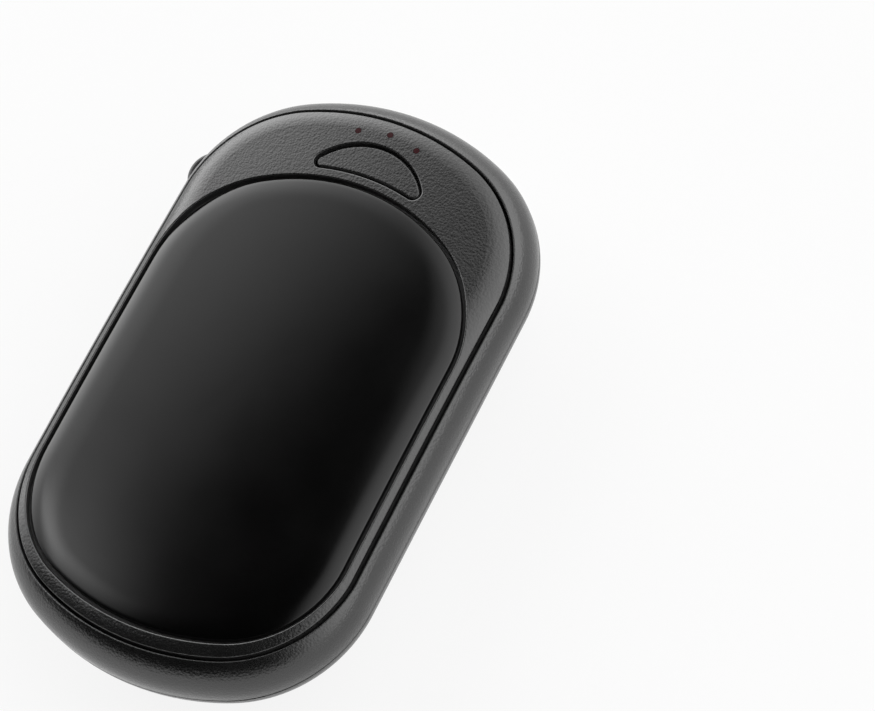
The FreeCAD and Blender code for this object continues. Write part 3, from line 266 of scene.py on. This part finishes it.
# Plain finishes by slot: two near shades, roughness, scale of the grain, and its depth in millimetres
PLAIN_FINISHES = {
    "light_red": (rgb(0.022, 0.002, 0.004), rgb(0.036, 0.003, 0.005), 0.3, 3000.0, 0.01),
    "trim_black": (grey(0.012), grey(0.018), 0.5, 4000.0, 0.03),
    "port_steel": (rgb(0.52, 0.52, 0.54), rgb(0.6, 0.6, 0.61), 0.28, 5000.0, 0.01),
    "loop_black": (grey(0.014), grey(0.022), 0.35, 5000.0, 0.02),
    "board_green": (rgb(0.01, 0.1, 0.04), rgb(0.016, 0.14, 0.055), 0.3, 2500.0, 0.01),
    "chip_black": (rgb(0.014, 0.014, 0.015), rgb(0.024, 0.024, 0.025), 0.55, 6000.0, 0.02),
    "led_pale": (rgb(0.72, 0.7, 0.62), rgb(0.8, 0.78, 0.7), 0.2, 3000.0, 0.01),
    "ferrite": (rgb(0.06, 0.06, 0.065), rgb(0.1, 0.1, 0.105), 0.6, 4000.0, 0.03),
    "switch_spring": (grey(0.55), rgb(0.65, 0.65, 0.64), 0.25, 5000.0, 0.01),
    "cell_wrap": (rgb(0.02, 0.13, 0.3), rgb(0.03, 0.17, 0.36), 0.28, 2000.0, 0.01),
    "holder_grey": (rgb(0.07, 0.07, 0.075), rgb(0.1, 0.1, 0.105), 0.55, 4000.0, 0.03),
    "nickel": (rgb(0.58, 0.55, 0.5), rgb(0.66, 0.63, 0.57), 0.32, 4000.0, 0.01),
    "foam": (grey(0.04), grey(0.07), 0.9, 2200.0, 0.1),
    "heater_film": (rgb(0.42, 0.18, 0.02), rgb(0.52, 0.24, 0.04), 0.25, 2500.0, 0.01),
    "plate_bare": (rgb(0.7, 0.7, 0.72), rgb(0.78, 0.78, 0.8), 0.35, 4000.0, 0.01),
    "bead_black": (grey(0.015), grey(0.025), 0.2, 3000.0, 0.01),
    "lead_red": (rgb(0.3, 0.012, 0.012), rgb(0.36, 0.02, 0.018), 0.5, 3000.0, 0.02),
    "lead_white": (rgb(0.6, 0.6, 0.57), rgb(0.68, 0.68, 0.65), 0.5, 3000.0, 0.02),
    "screw_steel": (rgb(0.3, 0.3, 0.31), rgb(0.38, 0.38, 0.39), 0.35, 5000.0, 0.01),
}
METALS = ("port_steel", "switch_spring", "nickel", "plate_bare", "screw_steel")
LIGHT_SHINE = 0.15
PLAIN_SHINE = 0.5
PLAIN_STRENGTH = 0.3
PLAIN_GLOSS_SPREAD = 0.06
SHADES_TO_GRAIN = 12


def plain_finish(name, low, high, roughness, grain, depth):
    """A moulded, plated or wrapped finish: two near shades, uneven gloss and a fine surface grain."""
    made = Shader(name)
    made.set(Specular_IOR_Level=LIGHT_SHINE if name == "light_red" else PLAIN_SHINE)
    made.set(Metallic=1.0 if name in METALS else 0.0)
    fine = made.noise(grain)
    made.bump(fine, PLAIN_STRENGTH, depth * MM)
    made.set(Base_Color=made.mix(made.spread(made.noise(grain / SHADES_TO_GRAIN)), low, high))
    made.set(Roughness=made.spread(fine, roughness - PLAIN_GLOSS_SPREAD, roughness + PLAIN_GLOSS_SPREAD))
    return made.material


PLASTIC_LEVEL = 0.007
PLASTIC_ROUGHNESS = 0.22
PANEL_LEVEL = 0.001
PANEL_ROUGHNESS = 0.16
FINISHES = {slot: plain_finish(slot, *values) for slot, values in PLAIN_FINISHES.items()}
FINISHES["shell_black"] = grained_plastic("shell_black", PLASTIC_LEVEL, PLASTIC_ROUGHNESS)
FINISHES["button_black"] = grained_plastic("button_black", PLASTIC_LEVEL, PLASTIC_ROUGHNESS)
FINISHES["panel_black"] = satin_coat("panel_black", PANEL_LEVEL, PANEL_ROUGHNESS)
for row in frame["record"]["subparts"]:
    mesh = nodes[row["node"]].data
    mesh.materials.clear()
    mesh.materials.append(FINISHES[row["material_slot"]])


# Heat panel: half width, then for each end its radius and middle, and its corners' radius and middle
PANEL_HALF = 25.23 * MM
PANEL_TOP = (32.28 * MM, -0.82 * MM, 19.02 * MM, 10.9 * MM)
PANEL_BOTTOM = (39.89 * MM, 0.99 * MM, 17.36 * MM, 22.1 * MM)
PANEL_THICKNESS = 1.2 * MM
CROWN_RADIUS = 245.0 * MM
SPINE_RADIUS = 873.0 * MM
# The soft roll to its edge, along its sides and at its ends, the case's own round beside it, and its rim
ROLL_WIDTH = 6.0 * MM
ROLL_RADIUS = 48.0 * MM
END_WIDTH = 3.0 * MM
END_RADIUS = 22.0 * MM
SIDE_WIDTH = 2.3 * MM
SIDE_RADIUS = 6.85 * MM
RIM_RADIUS = 0.2 * MM
# Steps of its mesh: along each arc, each side, the rim and the roll, then the rings inside the roll
ARC_STEPS = 16
SIDE_STEPS = 24
RIM_STEPS = 5
ROLL_STEPS = 12
INNER_INSETS = (9.0 * MM, 13.0 * MM)
CORE_SHARES = (0.75, 0.5, 0.25)
SHARP_ANGLE = math.radians(40)


def half_outline(end, other, turned):
    """Points and outward directions round one end of the panel and down the side that follows it."""
    end_radius, end_middle, corner_radius, corner_middle = end
    corner_x = PANEL_HALF - corner_radius
    turn = math.atan2(corner_middle - end_middle, corner_x)
    arcs = ((corner_x, corner_middle, corner_radius, 0.0, turn),
            (0.0, end_middle, end_radius, turn, math.pi - turn),
            (-corner_x, corner_middle, corner_radius, math.pi - turn, math.pi))
    rows = []
    for x, y, radius, first, last in arcs:
        for step in range(ARC_STEPS):
            angle = first + (last - first) * step / ARC_STEPS
            out = Vector((math.cos(angle), math.sin(angle)))
            rows.append((Vector((x, y)) + out * radius, out))
    side_length = corner_middle + other[3]
    for step in range(SIDE_STEPS):
        spot = Vector((-PANEL_HALF, corner_middle - side_length * step / SIDE_STEPS))
        rows.append((spot, Vector((-1.0, 0.0))))
    return [(spot * turned, out * turned) for spot, out in rows]


def make_panel():
    """The heat panel as a formed plate: the case's crown with a soft roll to its edge all round."""
    outline = half_outline(PANEL_TOP, PANEL_BOTTOM, 1.0) + half_outline(PANEL_BOTTOM, PANEL_TOP, -1.0)
    apex = cad_box[1][2]
    count = len(outline)

    def crown(x, y):
        spread = SPINE_RADIUS - CROWN_RADIUS + math.sqrt(CROWN_RADIUS ** 2 - x ** 2)
        return apex - SPINE_RADIUS + math.sqrt(spread ** 2 - y ** 2)

    def ring(inset, drop, rolled):
        """The outline drawn in by inset, on the crown lowered by drop and by the rolls."""
        rows = []
        for spot, out in outline:
            x, y = spot - out * inset
            share = out.x ** 2
            width = END_WIDTH + (ROLL_WIDTH - END_WIDTH) * share
            radius = END_RADIUS + (ROLL_RADIUS - END_RADIUS) * share
            side = share * max(SIDE_WIDTH - inset, 0.0) ** 2 / (2 * SIDE_RADIUS)
            roll = rolled * max(width - inset, 0.0) ** 2 / (2 * radius)
            rows.append((x, y, crown(x, y) - drop - side - roll))
        return rows

    def core(share, drop):
        """The innermost outline shrunk towards the middle."""
        rows = []
        for spot, out in outline:
            x, y = (spot - out * INNER_INSETS[-1]) * share
            rows.append((x, y, crown(x, y) - drop))
        return rows

    rings = [core(share, PANEL_THICKNESS) for share in reversed(CORE_SHARES)]
    rings += [ring(inset, PANEL_THICKNESS, 0.0) for inset in (INNER_INSETS[-1], SIDE_WIDTH, 0.0)]
    for step in range(RIM_STEPS):
        angle = math.pi / 2 * step / RIM_STEPS
        rings.append(ring(RIM_RADIUS * (1 - math.cos(angle)), RIM_RADIUS * (1 - math.sin(angle)), 1.0))
    for step in range(ROLL_STEPS + 1):
        rings.append(ring(RIM_RADIUS + (ROLL_WIDTH - RIM_RADIUS) * step / ROLL_STEPS, 0.0, 1.0))
    rings += [ring(inset, 0.0, 1.0) for inset in INNER_INSETS]
    rings += [core(share, 0.0) for share in CORE_SHARES]
    points = [spot for row in rings for spot in row]
    points += [(0.0, 0.0, apex - PANEL_THICKNESS), (0.0, 0.0, apex)]
    last = count * (len(rings) - 1)
    faces = []
    for number in range(count):
        beside = (number + 1) % count
        for low in range(0, last, count):
            faces.append((low + number, low + beside, low + count + beside, low + count + number))
        faces.append((len(points) - 2, beside, number))
        faces.append((last + number, last + beside, len(points) - 1))
    mesh = bpy.data.meshes.new("heat_panel_plate")
    mesh.from_pydata(points, [], faces)
    mesh.shade_smooth()
    mesh.set_sharp_from_angle(angle=SHARP_ANGLE)
    mesh.materials.append(FINISHES["panel_black"])
    plate = bpy.data.objects.new("heat_panel_plate", mesh)
    bpy.context.scene.collection.objects.link(plate)
    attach(plate, "case")
    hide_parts("heat_panel")


make_panel()


def make_dome():
    dome = bpy.data.objects.new("switch_dome_cap", nodes["switch_dome"].data.copy())
    bpy.context.scene.collection.objects.link(dome)
    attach(dome, "case")
    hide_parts("switch_dome")
    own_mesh(dome)


make_dome()

# Floor: pale paper just under the part, white to the camera and in reflections, with a faint shadow
FLOOR_DROP = 0.1 * MM
FLOOR_SIDE = 6.0
FLOOR_GLOW = 0.86
FLOOR_FIBRES = 700.0
FLOOR_SHADES = (0.88, 0.9)
FLOOR_ROUGHNESS = 0.7
FLOOR_SHINE = 0.2


def make_floor():
    mesh = bpy.data.meshes.new("floor")
    signs = ((-1, -1), (1, -1), (1, 1), (-1, 1))
    mesh.from_pydata([(FLOOR_SIDE * x, FLOOR_SIDE * y, -FLOOR_DROP) for x, y in signs], [], [(0, 1, 2, 3)])
    floor = bpy.data.objects.new("floor", mesh)
    bpy.context.scene.collection.objects.link(floor)
    made = Shader("floor_paper")
    dark, light = FLOOR_SHADES
    made.set(Base_Color=made.mix(made.spread(made.noise(FLOOR_FIBRES)), grey(dark), grey(light)))
    made.set(Roughness=FLOOR_ROUGHNESS, Specular_IOR_Level=FLOOR_SHINE)
    path = made.node("ShaderNodeLightPath").outputs
    seen = made.math("MAXIMUM", path["Is Camera Ray"], path["Is Glossy Ray"])
    seen = made.math("MAXIMUM", seen, path["Is Transmission Ray"])
    glow = made.node("ShaderNodeEmission")
    blend = made.node("ShaderNodeMixShader")
    made.link(made.math("MULTIPLY", seen, FLOOR_GLOW), blend.inputs["Fac"])
    made.link(made.bsdf.outputs["BSDF"], blend.inputs[1])
    made.link(glow.outputs["Emission"], blend.inputs[2])
    made.link(blend.outputs["Shader"], made.output.inputs["Surface"])
    mesh.materials.append(made.material)


make_floor()

# Light: a pale studio with soft areas at the left and right and near the floor, and a dark ceiling. Each has
# its direction, the shares along it at which the light starts and is full, the power of its growth, and its
# strength. The strip is a narrow one at the left: how it grows to the left, then what bounds it.
LEFT_AREA = ((-0.8, 0.6, 0.0), 0.43, 0.95, 1.1, 3.6)
RIGHT_AREA = ((0.714, 0.7, 0.0), 0.09, 1.0, 0.6, 2.4)
LOW_AREA = ((0.0, 0.0, -1.0), -0.3, -0.05, 1.0, 1.0)
STRIP_AREA = ((-1.0, 0.0, 0.0), 0.42, 0.64, 1.0, 4.0)
STRIP_BOUNDS = (((0.0, -1.0, 0.0), -0.15, -0.1, 1.0, 1.0),
                ((0.0, 1.0, 0.0), -0.2, 0.05, 1.0, 1.0),
                ((-1.0, 0.0, 0.0), 0.9, 0.68, 1.0, 1.0))


def make_studio():
    world = bpy.data.worlds.new("studio")
    bpy.context.scene.world = world
    world.use_nodes = True
    tree = world.node_tree
    where = tree.nodes.new("ShaderNodeTexCoord").outputs["Generated"]

    def join(operation, first, second):
        made = tree.nodes.new("ShaderNodeMath")
        made.operation = operation
        for socket, value in zip(made.inputs, (first, second)):
            if isinstance(value, bpy.types.NodeSocket):
                tree.links.new(value, socket)
            else:
                socket.default_value = value
        return made.outputs["Value"]

    def soft_area(toward, begin, full, power, strength):
        """Light from one side of the studio that grows from begin to full along a direction."""
        along = tree.nodes.new("ShaderNodeVectorMath")
        along.operation = "DOT_PRODUCT"
        tree.links.new(where, along.inputs[0])
        along.inputs[1].default_value = toward
        share = tree.nodes.new("ShaderNodeMapRange")
        tree.links.new(along.outputs["Value"], share.inputs["Value"])
        share.inputs["From Min"].default_value = begin
        share.inputs["From Max"].default_value = full
        return join("MULTIPLY", join("POWER", share.outputs["Result"], power), strength)

    level = soft_area(*STRIP_AREA)
    for bound in STRIP_BOUNDS:
        level = join("MULTIPLY", level, soft_area(*bound))
    for area in (LEFT_AREA, RIGHT_AREA, LOW_AREA):
        level = join("MAXIMUM", level, soft_area(*area))
    background = tree.nodes["Background"]
    background.inputs["Color"].default_value = grey(1.0)
    tree.links.new(level, background.inputs["Strength"])


make_studio()

# Camera: the photograph's viewing angle, as directions in the part's frame, a place, and sizes in millimetres
CAMERA_RIGHT = Vector((0.86623, 0.44648, -0.22429))
CAMERA_DOWN = Vector((0.32643, -0.84554, -0.42250))
CAMERA_AHEAD = Vector((-0.37828, 0.29276, -0.87818))
CAMERA_PLACE = Vector((183.67, -112.39, 395.58)) * MM
CAMERA_SENSOR = 36.0
CAMERA_LENS = 122.48
CAMERA_NEAR = 10.0 * MM


def make_camera():
    data = bpy.data.cameras.new("photo_view")
    data.sensor_width = CAMERA_SENSOR
    data.lens = CAMERA_LENS
    data.clip_start = CAMERA_NEAR
    camera = bpy.data.objects.new("photo_view", data)
    turn = Matrix((CAMERA_RIGHT, -CAMERA_DOWN, -CAMERA_AHEAD)).transposed()
    camera.matrix_world = Matrix.Translation(CAMERA_PLACE) @ turn.to_4x4()
    bpy.context.scene.collection.objects.link(camera)
    bpy.context.scene.camera = camera


make_camera()
bpy.context.scene.view_settings.view_transform = "Standard"
